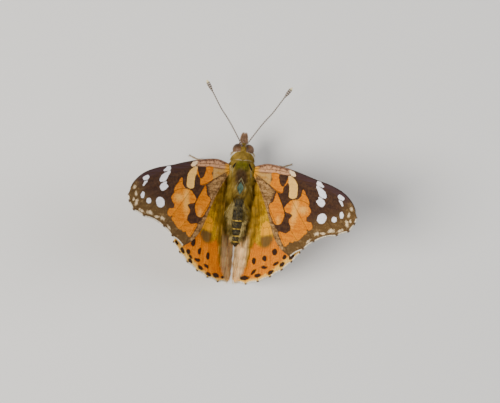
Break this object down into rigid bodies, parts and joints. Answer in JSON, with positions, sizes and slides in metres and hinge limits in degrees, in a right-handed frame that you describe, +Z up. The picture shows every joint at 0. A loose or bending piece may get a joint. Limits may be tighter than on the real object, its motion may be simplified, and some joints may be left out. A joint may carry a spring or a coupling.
{
  "type": "painted lady butterfly model",
  "caption": "Still, life-size painted lady butterfly, standing on its walking legs with both pairs of wings raised in a shallow V.",
  "frame": {"origin": "on the floor, below the middle of the whole model's box", "axes": "+Z up, the head towards -Y, the animal's left wings towards +X"},
  "size_m": [0.046, 0.041, 0.0298],
  "materials": {
    "wing_scales": "matte overlapping scales, orange with dark and white marks",
    "body_hair": "soft olive-brown hair",
    "eye": "satin, finely faceted",
    "antenna": "fine scales, pale tip",
    "leg": "fine pale scales",
    "tongue": "smooth dark cuticle"
  },
  "bodies": {
    "root": {"abdomen": "body_hair", "antenna_left": "antenna", "antenna_right": "antenna", "eye_left": "eye", "eye_right": "eye", "foreleg_left": "body_hair", "foreleg_right": "body_hair", "forewing_left": "wing_scales", "forewing_right": "wing_scales", "head": "body_hair", "hindleg_femur_left": "leg", "hindleg_femur_right": "leg", "hindleg_tarsus_left": "leg", "hindleg_tarsus_right": "leg", "hindleg_tibia_left": "leg", "hindleg_tibia_right": "leg", "hindwing_left": "wing_scales", "hindwing_right": "wing_scales", "midleg_femur_left": "leg", "midleg_femur_right": "leg", "midleg_tarsus_left": "leg", "midleg_tarsus_right": "leg", "midleg_tibia_left": "leg", "midleg_tibia_right": "leg", "palp_left": "body_hair", "palp_right": "body_hair", "proboscis": "tongue", "thorax": "body_hair"}
  },
  "joints": []
}
